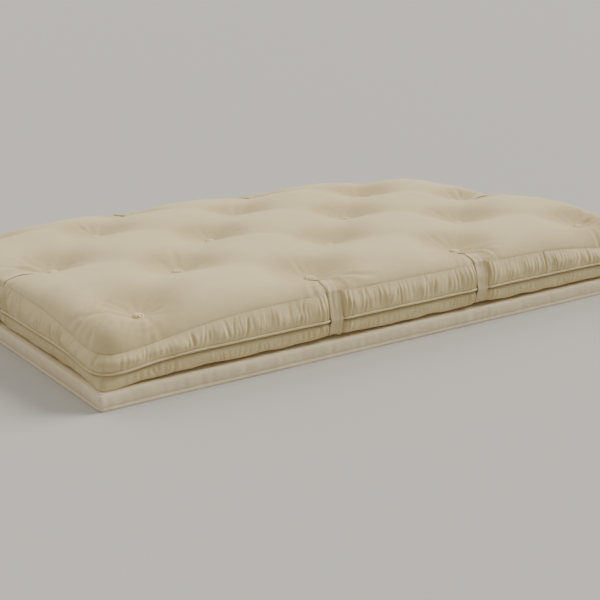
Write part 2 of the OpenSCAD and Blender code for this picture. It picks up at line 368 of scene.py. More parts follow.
def stitches(path, out, length, gap, radius):
    """Short round-ended stitches along a path, each dipping into the cloth at its ends."""
    path, out = np.asarray(path, float), np.asarray(out, float)
    step = np.linalg.norm(np.diff(path, axis=0), axis=1)
    at = np.concatenate([[0], np.cumsum(step)])
    starts = np.arange(gap, at[-1] - length, length + gap)
    rings, sides = 5, 6
    t = np.linspace(0, 1, rings)
    where = starts[:, None] + t[None, :] * length
    centre = np.stack([np.interp(where, at, path[:, k]) for k in range(3)], -1)
    normal = np.stack([np.interp(where, at, out[:, k]) for k in range(3)], -1)
    normal /= np.linalg.norm(normal, axis=-1, keepdims=True)
    centre += normal * (radius * (1.5 * np.sin(math.pi * t) - 0.6))[None, :, None]
    tangent = centre[:, -1] - centre[:, 0]
    tangent /= np.linalg.norm(tangent, axis=-1, keepdims=True)
    tangent = np.repeat(tangent[:, None, :], rings, 1)
    side = np.cross(tangent, normal)
    fat = radius * np.array([0.35, 0.9, 1.0, 0.9, 0.35])
    a = np.arange(sides) * 2 * math.pi / sides
    ring = (np.cos(a)[None, None, :, None] * side[:, :, None, :]
            + np.sin(a)[None, None, :, None] * normal[:, :, None, :])
    verts = centre[:, :, None, :] + ring * fat[None, :, None, None]
    i, j = np.meshgrid(np.arange(rings - 1), np.arange(sides), indexing="ij")
    one = np.stack([i * sides + j, i * sides + (j + 1) % sides, (i + 1) * sides + (j + 1) % sides,
                    (i + 1) * sides + j], -1).reshape(-1, 4)
    caps = np.array([[5, 4, 3, 0], [3, 2, 1, 0]])
    last = (rings - 1) * sides
    caps = np.concatenate([caps, caps[:, ::-1] + last])
    one = np.concatenate([one, caps])
    faces = (one[None] + (np.arange(len(starts)) * rings * sides)[:, None, None]).reshape(-1, 4)
    return verts.reshape(-1, 3), faces


def close_loop(path):
    """A loop of points with its first point again at the end."""
    return np.concatenate([path, path[:1]])


def join(parts):
    """One mesh from several."""
    verts, faces, start = [], [], 0
    for v, f in parts:
        verts.append(v)
        faces.append(f + start)
        start += len(v)
    return np.concatenate(verts), np.concatenate(faces)


# ---- Top panel: a flat cloth laid over the tufted hills, then relaxed ----

CLOTH_STEP = 0.007
RISE = CREST_Z - SEAM_Z


def plan_grid(x, y, rect, radius, power):
    """Plan points, corner radius share (0 inside, 1 on the rim) and direction, from square coordinates."""
    u = np.clip((np.abs(x) - rect[0]) / radius, 0, 1)[:, None]
    v = np.clip((np.abs(y) - rect[1]) / radius, 0, 1)[None, :]
    cu, cv = u * np.sqrt(1 - v**2 / 2), v * np.sqrt(1 - u**2 / 2)
    r = np.hypot(cu, cv)
    theta = np.arctan2(cv, cu)
    grow = corner_radius(theta, power) * radius
    px = np.sign(x)[:, None] * (np.minimum(np.abs(x), rect[0])[:, None] + grow * cu)
    py = np.sign(y)[None, :] * (np.minimum(np.abs(y), rect[1])[None, :] + grow * cv)
    return px, py, r, np.arctan2(np.sign(y)[None, :] * cv, np.sign(x)[:, None] * cu)


def face_plan(rect, radius, step, power):
    """Plan points of a flat face with rounded corners, with its radius shares, at about a step apart."""
    counts = [int(2 * (half + radius) / step) for half in rect]
    x, y = (np.linspace(-1, 1, count) * (half + radius) for count, half in zip(counts, rect))
    return plan_grid(x, y, rect, radius, power)[:3]


def shoulder_coordinates(half_axis):
    """Evenly spaced places across the flat cloth, and their square plan coordinates."""
    phi = np.linspace(0, math.pi / 2, 400)
    px, pz = SHOULDER * (1 - np.cos(phi)), RISE * np.sin(phi)
    arc = np.concatenate([[0], np.cumsum(np.hypot(np.diff(px), np.diff(pz)))])
    flat = half_axis + arc[-1]
    count = int(round(2 * flat / CLOTH_STEP))
    a = np.linspace(-flat, flat, count + 1)
    on_edge = np.interp(flat - np.abs(a), arc, phi)
    e = np.where(np.abs(a) > half_axis, np.cos(on_edge), 0)
    return a, np.where(np.abs(a) > half_axis, np.sign(a) * (half_axis + SHOULDER * e), a)


PIT_FLAT, PIT_REACH, PIT_POWER = 0.012, 0.088, 1.35     # a pit's bottom, its reach and its steepness
VALLEY_WIDTH, VALLEY_DEPTH = 0.055, 0.010


def pit_share(x, y):
    """1 at a tuft, falling off over the hills."""
    open_share = np.ones(x.shape)
    for tx, ty in TUFTS:
        r = np.hypot(x - tx, y - ty)
        open_share *= 1 - np.exp(-((np.maximum(r - PIT_FLAT, 0) / PIT_REACH) ** PIT_POWER))
    return 1 - open_share


def valleys(x, y):
    """Shallow valleys between a tuft and its diagonal neighbours."""
    total = np.zeros(x.shape)
    diagonal = math.hypot(PITCH_X, PITCH_Y) / 2
    for i, (ax, ay) in enumerate(TUFTS):
        for bx, by in TUFTS[i + 1:]:
            length = math.hypot(bx - ax, by - ay)
            if length > diagonal * 1.05:
                continue
            t = np.clip(((x - ax) * (bx - ax) + (y - ay) * (by - ay)) / length**2, 0, 1)
            d = np.hypot(x - ax - t * (bx - ax), y - ay - t * (by - ay))
            total = np.maximum(total, np.exp(-((d / VALLEY_WIDTH) ** 2)))
    return total


EDGE_ROOM = 0.2         # a tuft nearer than this to the welt line is at the edge


def tuft_creases(x, y):
    """Soft creases that run out from each tuft, further on the side of the nearest edge."""
    total = np.zeros(x.shape)
    for tx, ty in TUFTS:
        room = BODY_HALF - np.abs([tx, ty])
        by_end, by_side = room < EDGE_ROOM
        edge = math.atan2(np.sign(ty) * by_side, np.sign(tx) * by_end)
        at_edge = by_end or by_side
        count = int(rng.integers(9, 13))
        angles = np.sort(rng.random(count)) * 0.5 + np.arange(count)
        angles = angles * 2 * math.pi / count + rng.random() * 6.28
        reach = rng.uniform(0.07, 0.16, count)
        if at_edge:
            more = int(rng.integers(7, 11))
            aside = rng.choice([-1, 1], more) * (rng.uniform(0.35, 1.05, more) + 0.3 * (by_end and by_side))
            angles = np.concatenate([angles, edge + aside])
            reach = np.concatenate([reach, rng.uniform(0.13, 0.21, more)])
        near = np.hypot(x - tx, y - ty) < 0.24
        r = np.hypot(x[near] - tx, y[near] - ty)
        phi = np.arctan2(y[near] - ty, x[near] - tx)
        here = np.zeros(r.shape)
        deep = int(at_edge) * rng.integers(1, 3)    # how many of the last creases are deep ones
        for k, (angle, end) in enumerate(zip(angles, reach)):
            bend, width = rng.normal(0, 1.8), rng.uniform(0.0055, 0.0095)
            depth = rng.uniform(0.0008, 0.0026)
            if k >= len(angles) - deep:
                bend, depth, end = rng.choice([-1, 1]) * rng.uniform(2.2, 3.6), 0.0034, 0.20
            turn = phi - angle - bend * (r - 0.05)
            across = np.where(np.cos(turn) > 0, r * np.sin(turn), 9.0) / (width * (0.6 + 4 * r))
            form = 0.5 * (np.exp(-((across - 1.7) ** 2)) + np.exp(-((across + 1.7) ** 2)))
            form -= np.exp(-(across**2))
            here += depth * form * smooth((r - 0.016) / 0.03) * (1 - smooth((r - end + 0.06) / 0.06))
        for _ in range(2):
            middle, spread = rng.random() * 6.28, rng.uniform(0.35, 0.6)
            start, length = rng.uniform(0.06, 0.10), rng.uniform(0.016, 0.021)
            turn = (phi - middle + math.pi) % (2 * math.pi) - math.pi
            window = np.exp(-((turn / spread) ** 2)) * np.exp(-(((r - start - 0.02) / 0.028) ** 2))
            here += 0.0009 * window * np.sin(2 * math.pi * (r - start + 0.02 * turn) / length)
        total[near] += here
    return total


def strap_bed(x, y):
    """1 where a strap or its narrow tape presses on the top panel."""
    total = np.zeros(x.shape)
    for strap in STRAPS.values():
        out, tuft = strap["out"], strap["tuft"]
        forward = (x - tuft[0]) * out[0] + (y - tuft[1]) * out[1]
        across = np.abs((x - tuft[0]) * out[1] - (y - tuft[1]) * out[0])
        wide = smooth((forward - 0.045) / 0.05)
        flat, reach = 0.007 + 0.013 * wide, 0.034 + 0.018 * wide
        total = np.maximum(total, (forward > 0) * (1 - smooth((across - flat) / (reach - flat)))
                           * smooth(forward / 0.03))
    return total


def relax(points, target, normal, rest, fixed, held, rounds):
    """Position-based cloth: threads keep their length, the cloth resists bending, and the filling
    holds it out towards the target surface. Fixed points stay, held ones stay close to the target."""
    def pull(a, b, length, stiffness):
        d = b - a
        size = np.sqrt((d * d).sum(-1))
        d *= (0.5 * stiffness * (1 - length / np.maximum(size, 1e-9)))[..., None]
        a += d
        b -= d

    rest_u, rest_v = rest
    shear = np.hypot(0.5 * (rest_u[:, 1:] + rest_u[:, :-1]), 0.5 * (rest_v[1:] + rest_v[:-1]))
    bend_u, bend_v = rest_u[1:] + rest_u[:-1], rest_v[:, 1:] + rest_v[:, :-1]
    out_push = np.where(held, 0.5, 0.16)
    in_pull = np.where(held, 0.5, 0.035)
    for _ in range(rounds):
        gap = ((target - points) * normal).sum(-1)
        points += normal * (gap * np.where(gap > 0, out_push, in_pull))[..., None]
        for o in (0, 1):
            pull(points[o:-1:2], points[o + 1::2], rest_u[o::2], 0.9)
            pull(points[:, o:-1:2], points[:, o + 1::2], rest_v[:, o::2], 0.9)
            pull(points[o:-1:2, :-1], points[o + 1::2, 1:], shear[o::2], 0.25)
            pull(points[o:-1:2, 1:], points[o + 1::2, :-1], shear[o::2], 0.25)
        for o in range(4):
            pull(points[o:-2:4], points[o + 2::4], bend_u[o::4], 0.35)
            pull(points[:, o:-2:4], points[:, o + 2::4], bend_v[:, o::4], 0.35)
        points[fixed] = target[fixed]
    return points


SEAM_SHARE = 0.45       # how much of a fold in the side band reaches the top seam
SEAM_FOLDS = 0.97       # height share at which the folds meet the seam
PIT_FOLLOW = 0.85       # how much of the sag of the edges the tufts follow, up to the limit
SAG_LIMIT = 0.034
TUFTED = 0.016          # radius held down by a tuft
CLOTH_ROUNDS, QUICK_ROUNDS = 260, 30
EASE, TIGHT, LOOSE = 1.008, 0.97, 1.012     # thread lengths against the flat cloth and the target


def top_surface():
    """The relaxed top panel as a grid of points, with its flat cloth coordinates."""
    a, x = shoulder_coordinates(AXIS_RECT[0])
    b, y = shoulder_coordinates(AXIS_RECT[1])
    px, py, r, theta = plan_grid(x, y, AXIS_RECT, SHOULDER, CORNER_TOP)
    up = np.clip(1 - r**2.2, 0, 1) ** 0.58
    s = along_of(px, py)
    seam = seam_z(s)
    crest = CREST_Z - 0.010 + 0.0022 * waves(px, py, 0.35, 0.9)
    across = py / BODY_HALF[1]
    # How far the hills sag towards the back, front, left and right, and over what distance
    for gap, drop, fall in ((BODY_HALF[1] - py, 0.050, 0.19),
                            (BODY_HALF[1] + py, 0.018, 0.15),
                            (BODY_HALF[0] + px, 0.036 + 0.010 * across, 0.23),
                            (BODY_HALF[0] - px, 0.018 + 0.030 * across, 0.18)):
        crest = crest - drop * np.exp(-((gap / fall) ** 2))
    pit = pit_share(px, py)
    sag = np.minimum(CREST_Z - crest, SAG_LIMIT)
    height = crest - seam - (crest - PIT_Z + PIT_FOLLOW * sag) * pit
    height -= VALLEY_DEPTH * valleys(px, py) * (1 - pit)
    n = np.stack([r * np.cos(theta), r * np.sin(theta), up + 1e-6], -1)
    n /= np.linalg.norm(n, axis=-1, keepdims=True)
    target = np.stack([px, py, seam + up * height], -1)
    pull_in = 0.012 * pit * 2 * r * up
    target[..., :2] -= pull_in[..., None] * n[..., :2]
    arc = np.minimum((a[-1] - np.abs(a))[:, None], (b[-1] - np.abs(b))[None, :])
    fine_s = np.linspace(0, AROUND, 4000, endpoint=False)
    ripple = np.interp(s, fine_s, pucker(fine_s, np.array([SEAM_FOLDS]), UPPER_FOLDS)[:, 0], period=AROUND)
    bed = np.where(r > 0.02, strap_press(s), 0.0)
    bed = np.maximum(bed, strap_bed(px, py))
    press = 0.005 + 0.003 * smooth((1 - r) / 0.2)
    lift = 0.0016 * waves(px, py, 0.14, 0.35) * up * (1 - pit)
    lift += tuft_creases(px, py) + 0.0003 * waves(px, py, 0.035, 0.08) * up * (0.3 + pit)
    lift = lift * (1 - bed) - press * bed * (1 - pit) + SEAM_SHARE * ripple * np.exp(-arc / 0.045)
    lift[[0, -1]], lift[:, [0, -1]] = 0, 0
    target += n * lift[..., None]
    # The rim is the seam line itself
    rim = np.zeros(r.shape, bool)
    rim[[0, -1]], rim[:, [0, -1]] = True, True
    target[rim] = seam_point(s[rim], np.stack([px[rim], py[rim]], -1), theta[rim])
    tufted = np.min([np.hypot(px - tx, py - ty) for tx, ty in TUFTS], 0) < TUFTED
    flat_u, flat_v = a[1] - a[0], b[1] - b[0]
    real_u = np.linalg.norm(np.diff(target, axis=0), axis=-1)
    real_v = np.linalg.norm(np.diff(target, axis=1), axis=-1)
    rest = (np.clip(flat_u * EASE, real_u * TIGHT, real_u * LOOSE),
            np.clip(flat_v * EASE, real_v * TIGHT, real_v * LOOSE))
    normal = normals_of(target)
    held = bed > 0.6
    rounds = CLOTH_ROUNDS
    points = relax(target.copy(), target, normal, rest, rim | tufted, held, rounds)
    # Painted shade: the cotton in the pits is drawn darker and warmer; this share goes in the weave's third
    # part
    hollow = 1.15 * smooth((pit - 0.06) / 0.40)
    weave = np.stack([np.broadcast_to(a[:, None], r.shape), np.broadcast_to(b[None, :], r.shape),
                      hollow], -1)
    return points, weave, a, b


def seam_offset(s):
    """Offset of the top seam from the welt line: it follows the puckers and sinks under straps."""
    at_seam = pucker(np.ravel(s), np.array([SEAM_FOLDS]), UPPER_FOLDS)[:, 0].reshape(np.shape(s))
    return -SEAM_INSET - 0.007 * strap_press(s) + SEAM_SHARE * at_seam


def seam_point(s, plan, theta):
    """Points of the top seam beside given plan points of its mean line."""
    shift = seam_offset(s) + SEAM_INSET
    xy = plan + shift[:, None] * np.stack([np.cos(theta), np.sin(theta)], -1)
    return np.concatenate([xy, seam_z(s)[:, None]], 1)


# ---- Side bands ----

UPPER_ROWS, LOWER_ROWS = 20, 20


def ring(centre, theta, radius, power, z):
    """Points of columns by rows, each at a radius from its corner axis, with a corner exponent by row."""
    c = corner_radius(theta[:, None], power[None, :]) * radius
    return np.stack([centre[:, :1] + c * np.cos(theta)[:, None],
                     centre[:, 1:] + c * np.sin(theta)[:, None], np.broadcast_to(z, c.shape)], -1)


def upper_band(side):
    centre, theta, s = PERIMETER[side]
    v = np.linspace(0, 1, UPPER_ROWS)
    power = CORNER_WELT + (CORNER_TOP - CORNER_WELT) * v
    folds = pucker(s, SEAM_FOLDS * v, UPPER_FOLDS)
    share = SEAM_SHARE + (1 - SEAM_SHARE) * np.sin(math.pi * v)
    share = np.where(v > 0.5, np.maximum(share - 0.10 * (v - 0.5) * 2, 0), share)
    offset = -0.001 - (SEAM_INSET - 0.001) * v**1.7 + 0.0075 * np.sin(math.pi * v)
    offset = offset[None, :] + share[None, :] * folds
    offset += 0.0015 * waves(s[:, None], 0.08 * v[None, :], 0.05, 0.2) * np.sin(math.pi * v)
    press = strap_press(s)[:, None]
    offset -= press * (0.004 + 0.003 * v + 0.004 * np.sin(math.pi * v))
    offset[:, -1] = seam_offset(s)
    offset[:, 0] = -0.001 - 0.004 * press[:, 0]
    z = welt_z(s)[:, None] + (seam_z(s) - welt_z(s))[:, None] * v[None, :]
    # Seam allowance, turned in under the top panel
    offset = np.concatenate([offset, offset[:, -1:] - 0.005], 1)
    z = np.concatenate([z, z[:, -1:] + 0.0015], 1)
    power = np.append(power, power[-1])
    # Painted shade: the cloth is drawn darker in the valleys of the folds
    hollow = np.concatenate([smooth(-folds / 0.0035), np.zeros((len(s), 1))], 1)
    weave = np.stack([np.broadcast_to(s[:, None], z.shape), z, hollow], -1)
    return ring(centre, theta, AXIS_INSET + offset, power, z), weave


# Section of the lower band from its bottom edge up: share of the height, offset from the welt line
LOWER_SECTION = ((0.0, -0.022), (0.03, -0.012), (0.10, -0.0065), (0.22, -0.003), (0.45, -0.0008),
                 (0.70, -0.0008), (0.82, -0.0030), (0.90, -0.0075), (1.0, -0.0125))
# Seams of the lower band: at the corners, and where two lengths of ticking are pieced together
PIECED = ((-0.767, 0.0020), (-0.529, 0.0014), (0.42, 0.0016))
BAND_SEAMS = [(corner, 0.0022) for corner in CORNERS]
BAND_SEAMS += [(float(along_of(np.array([x]), -BODY_HALF[1:])[0]), depth) for x, depth in PIECED]


def edge_lift(s):
    """How far the bottom edge of the casing stands off the base pad."""
    wave = 0.5 + 0.5 * np.clip(EDGE_WAVE(s), -1, 1)
    near_strap = sum(np.exp(-(wrap(s - strap["s"]) / 0.045) ** 2) for strap in STRAPS.values())
    corner = np.minimum(near_corner(s, EDGE_REACH), 1)
    return (0.0022 + 0.0042 * wave + 0.004 * near_strap) * (1 - 0.9 * corner) - EDGE_DROP * corner


EDGE_WAVE = periodic_noise(0.09, 0.6, 9)
WELT_WAVE = periodic_noise(0.03, 0.3, 12)


def lower_band(side):
    centre, theta, s = PERIMETER[side]
    v = np.linspace(0, 1, LOWER_ROWS) ** 1.25
    shares, offsets = np.array(LOWER_SECTION).T
    power = CORNER_LOW + (CORNER_WELT - CORNER_LOW) * smooth(v * 1.1)
    pointed = 1 - 0.75 * np.minimum(near_corner(s, 0.05), 1)
    offset = np.interp(v, shares, offsets)[None, :] * pointed[:, None]
    folds = pucker(s, v, LOWER_FOLDS)
    offset = offset + folds * (np.sin(math.pi * v**0.7) * 0.9 + 0.1)
    offset += 0.0012 * EDGE_WAVE(s)[:, None] * np.sin(math.pi * v)
    for place, depth in BAND_SEAMS:
        offset -= depth * np.exp(-((wrap(s - place) / 0.0030) ** 2))[:, None] * np.sin(math.pi * v)
    offset -= strap_press(s)[:, None] * (0.006 + 0.003 * np.sin(math.pi * v))
    low = PAD_TOP + edge_lift(s)
    z = low[:, None] + (welt_z(s) - 0.0024 - low)[:, None] * v[None, :]
    # Painted shade: darker near the bottom edge, in the shadow line under the welt and in the valleys of
    # the folds
    hollow = (0.35 * np.exp(-v / 0.3) + 1.2 * smooth((v - 0.80) / 0.15))[None, :]
    hollow = hollow + 0.5 * smooth(-folds / 0.003)
    weave = np.stack([np.broadcast_to(s[:, None], z.shape), z, hollow], -1)
    return ring(centre, theta, AXIS_INSET + offset, power, z), weave


def whole_ring(offset_of, z_of, power):
    """A closed loop of points round the mattress, with the outward direction at each."""
    points, outward, places = [], [], []
    for side in SIDES:
        centre, theta, s = (part[:-1] for part in PERIMETER[side])
        c = corner_radius(theta, power) * (AXIS_INSET + offset_of(s))
        points.append(np.stack([centre[:, 0] + c * np.cos(theta), centre[:, 1] + c * np.sin(theta),
                                z_of(s)], -1))
        outward.append(np.stack([np.cos(theta), np.sin(theta), 0 * theta], -1))
        places.append(s)
    return np.concatenate(points), np.concatenate(outward), np.concatenate(places)


# ---- Materials ----

def feed(tree, node, inputs):
    """Links or sets a node's inputs."""
    for key, value in inputs.items():
        if isinstance(value, bpy.types.NodeSocket):
            tree.links.new(value, node.inputs[key])
        else:
            node.inputs[key].default_value = value


def node_maker(name):
    """A new material, its tree, its shader and a function that adds nodes to it."""
    material = bpy.data.materials.new(name)
    material.use_nodes = True
    tree = material.node_tree
    bsdf = tree.nodes["Principled BSDF"]

    def add(kind, _inputs=None, **settings):
        node = tree.nodes.new(kind)
        for key, value in settings.items():
            setattr(node, key, value)
        feed(tree, node, _inputs or {})
        return node

    return material, tree, bsdf, add


HOLLOW_PAINTED_SHADE = (0.60, 0.45, 0.235)     # painted shade: the cotton is drawn darker and warmer where it lies in hollows and creases
HOLLOW_SHADE_SHARE = 0.55
FLECK = (0.42, 0.31, 0.17)


def cotton(name, light, dark, thread_pitch, weave_depth):
    """Woven cotton: threads from the weave attribute, uneven colour, a few darker flecks and painted shade
    in hollows and creases.
    """
    material, tree, bsdf, add = node_maker(name)
    place = add("ShaderNodeTexCoord").outputs["Object"]
    weave = add("ShaderNodeAttribute", attribute_name="weave").outputs["Vector"]
    split = add("ShaderNodeSeparateXYZ", {"Vector": weave})
    turns = 2 * math.pi / thread_pitch
    threads = []
    for axis in ("X", "Y"):
        scaled = add("ShaderNodeMath", {0: split.outputs[axis], 1: turns}, operation="MULTIPLY")
        wave = add("ShaderNodeMath", {0: scaled.outputs[0]}, operation="SINE")
        threads.append(wave.outputs[0])
    crossing = add("ShaderNodeMath", {0: threads[0], 1: threads[1]}, operation="MULTIPLY")
    slub = add("ShaderNodeTexNoise", {"Vector": weave, "Scale": 420.0, "Detail": 2.0})
    broad = add("ShaderNodeTexNoise", {"Vector": place, "Scale": 2.6, "Detail": 3.0})
    middle = add("ShaderNodeTexNoise", {"Vector": place, "Scale": 28.0, "Detail": 3.0})
    fleck = add("ShaderNodeTexNoise", {"Vector": place, "Scale": 360.0, "Detail": 1.0})
    fleck_share = add("ShaderNodeMapRange", {"Value": fleck.outputs["Fac"], "From Min": 0.66,
                                             "From Max": 0.74, "To Max": 0.35})
    blend = add("ShaderNodeMath", {0: broad.outputs["Fac"], 1: middle.outputs["Fac"]}, operation="ADD")
    share = add("ShaderNodeMapRange", {"Value": blend.outputs[0], "From Min": 0.7, "From Max": 1.3})
    tint = add("ShaderNodeMix", {"Factor": share.outputs["Result"], "A": (*dark, 1), "B": (*light, 1)},
               data_type="RGBA")
    flecked = add("ShaderNodeMix", {"Factor": fleck_share.outputs["Result"],
                                    "A": tint.outputs["Result"], "B": (*FLECK, 1)},
                  data_type="RGBA")
    # Painted shade: the weave attribute's third part darkens the colour towards the shade tint
    hollow = add("ShaderNodeMath", {0: split.outputs["Z"], 1: HOLLOW_SHADE_SHARE}, operation="MULTIPLY")
    shaded = add("ShaderNodeMix", {"Factor": hollow.outputs[0], "A": flecked.outputs["Result"],
                                   "B": (*HOLLOW_PAINTED_SHADE, 1)}, data_type="RGBA")
    rough = add("ShaderNodeMapRange", {"Value": slub.outputs["Fac"], "To Min": 0.84, "To Max": 0.96})
    height = add("ShaderNodeMath", {0: crossing.outputs[0], 1: slub.outputs["Fac"]}, operation="ADD")
    bump = add("ShaderNodeBump", {"Strength": 0.45, "Distance": weave_depth, "Height": height.outputs[0]})
    crinkle = add("ShaderNodeTexNoise", {"Vector": place, "Scale": 60.0, "Detail": 2.0})
    soft = add("ShaderNodeBump", {"Strength": 0.5, "Distance": 0.0005, "Height": crinkle.outputs["Fac"],
                                  "Normal": bump.outputs["Normal"]})
    feed(tree, bsdf, {"Base Color": shaded.outputs["Result"], "Roughness": rough.outputs["Result"],
                      "Normal": soft.outputs["Normal"], "Sheen Weight": 0.25, "Sheen Roughness": 0.45,
                      "Sheen Tint": (1.0, 0.96, 0.88, 1), "Specular IOR Level": 0.2})
    return material


def yarn(name, light, dark, scale, depth):
    """Loose cotton fibre or yarn: fibrous noise in colour, roughness and bump."""
    material, tree, bsdf, add = node_maker(name)
    place = add("ShaderNodeTexCoord").outputs["Object"]
    fibre = add("ShaderNodeTexNoise", {"Vector": place, "Scale": scale, "Detail": 4.0, "Distortion": 1.2})
    tint = add("ShaderNodeMix", {"Factor": fibre.outputs["Fac"], "A": (*dark, 1), "B": (*light, 1)},
               data_type="RGBA")
    rough = add("ShaderNodeMapRange", {"Value": fibre.outputs["Fac"], "To Min": 0.85, "To Max": 1.0})
    bump = add("ShaderNodeBump", {"Strength": 0.6, "Distance": depth, "Height": fibre.outputs["Fac"]})
    feed(tree, bsdf, {"Base Color": tint.outputs["Result"], "Roughness": rough.outputs["Result"],
                      "Normal": bump.outputs["Normal"], "Sheen Weight": 0.3, "Specular IOR Level": 0.15})
    return material


TICKING = cotton("ticking_cotton", (0.81, 0.695, 0.420), (0.775, 0.650, 0.370), 0.0011, 0.00035)
PAD_CLOTH = cotton("pad_cotton", (0.90, 0.800, 0.585), (0.87, 0.765, 0.535), 0.0011, 0.00035)
WELT_CLOTH = cotton("welt_cotton", (0.81, 0.705, 0.45), (0.77, 0.655, 0.40), 0.0009, 0.0003)
STRAP_CLOTH = cotton("strap_cotton", (0.82, 0.710, 0.460), (0.78, 0.650, 0.395), 0.0013, 0.0005)
TUFT_YARN = yarn("tuft_yarn", (0.88, 0.81, 0.56), (0.84, 0.74, 0.46), 260.0, 0.0008)
THREAD = yarn("stitch_thread", (0.76, 0.69, 0.54), (0.64, 0.55, 0.40), 500.0, 0.0003)
BATTING = yarn("cotton_batting", (0.82, 0.76, 0.62), (0.72, 0.64, 0.48), 90.0, 0.003)


# ---- Casing: top, side bands and bottom ----

TICKING_T = 0.0009
top, top_weave, cloth_a, cloth_b = top_surface()
top_normal = normals_of(top)


def cover(node, name, grid, weave, material=TICKING, body="mattress"):
    """A sheet of ticking that stands for a CAD node."""
    sheet = cloth_sheet(name, grid, weave, TICKING_T, slot="ticking", material=material, body=body)
    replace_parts(sheet, node)


def solid(node, name, mesh, slot, material, **how):
    """A piece from vertices and faces that stands for a CAD node."""
    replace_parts(make_object(name, *mesh, slot=slot, material=material, **how), node)


cover("top_panel", "casing_top", top, top_weave)
BANDS = {}
for side in SIDES:
    for level, builder in (("upper", upper_band), ("lower", lower_band)):
        grid, weave = builder(side)
        BANDS[side, level] = grid
        name = f"{side}_{level}_band"
        cover(name, f"casing_{name}", grid, weave)


def bottom_surface():
    """Underside of the casing: nearly flat on the pad, pulled up at the tufts."""
    radius = AXIS_INSET + LOWER_SECTION[0][1]
    px, py, r = face_plan(AXIS_RECT, radius, 0.012, CORNER_LOW)
    s = along_of(px, py)
    z = BODY_Z + 0.0012 + 0.0006 * waves(px, py, 0.08, 0.3)
    for tx, ty in TUFTS:
        z = np.maximum(z, BODY_Z + (DIMPLE_Z - BODY_Z + 0.001) * np.exp(
            -((np.maximum(np.hypot(px - tx, py - ty) - 0.016, 0) / 0.022) ** 1.3)))
    rim = np.zeros(r.shape, bool)
    rim[[0, -1]], rim[:, [0, -1]] = True, True
    z = np.where(rim, PAD_TOP + edge_lift(s), z)
    grid = np.stack([px, py, z], -1)
    return grid[:, ::-1], np.stack([px, py, 0 * px], -1)[:, ::-1]


under, under_weave = bottom_surface()
cover("bottom_panel", "casing_bottom", under, under_weave)

# ---- Welt ----

WELT_SHIFT = WELT_R * 0.55
WELT_SIDES = 12


def welt_offset(s):
    return WELT_SHIFT - 0.0065 * strap_press(s) + 0.0004 * WELT_WAVE(s)


def welt_height(s):
    return welt_z(s) + 0.0004 * WELT_WAVE(s)


welt_path, _, welt_s = whole_ring(welt_offset, welt_height, CORNER_WELT)
flatter = 1 + 0.03 * periodic_noise(0.012, 0.05, 16)(welt_s)
welt_tube = tube(welt_path, WELT_R * flatter, WELT_SIDES)
lap = np.stack([np.repeat(welt_s, WELT_SIDES), np.tile(np.arange(WELT_SIDES) * 0.002, len(welt_s)),
                np.zeros(len(welt_tube[0]))], -1)
solid("welt_cover", "welt_cover_roll", welt_tube, "welt", WELT_CLOTH, weave=lap)
solid("welt_cord", "welt_filler_cord", tube(welt_path, WELT_R * 0.55, 6), "batting", BATTING)

# Topstitching along the top seam
seam_path, seam_out, _ = whole_ring(lambda s: seam_offset(s) + 0.0004, seam_z, CORNER_TOP)
solid("top_seam_thread", "top_seam_stitches",
      stitches(close_loop(seam_path), close_loop(seam_out), 0.0042, 0.0030, 0.0006), "thread", THREAD)

# ---- Straps ----

STRAP_T = 0.0014
TAPE_HALF = 0.008
STRAP_ACROSS = 17


def on_top(a, b):
    """Points of the relaxed top panel at flat cloth coordinates."""
    fa = np.clip((a - cloth_a[0]) / (cloth_a[1] - cloth_a[0]), 0, len(cloth_a) - 1.001)
    fb = np.clip((b - cloth_b[0]) / (cloth_b[1] - cloth_b[0]), 0, len(cloth_b) - 1.001)
    i, j = fa.astype(int), fb.astype(int)
    u, v = (fa - i)[..., None], (fb - j)[..., None]
    low = top[i, j] * (1 - u) + top[i + 1, j] * u
    high = top[i, j + 1] * (1 - u) + top[i + 1, j + 1] * u
    return low * (1 - v) + high * v


def on_band(side, level, s):
    """Columns of a side band at places s along the perimeter, across by rows."""
    grid, places = BANDS[side, level], PERIMETER[side][2]
    at = np.interp(s, places, np.arange(len(places)))
    i = np.minimum(at.astype(int), len(places) - 2)
    u = (at - i)[:, None, None]
    return grid[i] * (1 - u) + grid[i + 1] * u


def taut(path, normal, clearance, rounds):
    """Draws strips tight over the surface beneath them: across by rows by xyz."""
    p = path + normal * clearance
    for _ in range(rounds):
        p[:, 1:-1] += 0.45 * (0.5 * (p[:, :-2] + p[:, 2:]) - p[:, 1:-1])
        p[1:-1] += 0.15 * (0.5 * (p[:-2] + p[2:]) - p[1:-1])
        gap = ((p - path) * normal).sum(-1) - clearance
        p += normal * np.maximum(-gap, 0)[..., None]
    return p


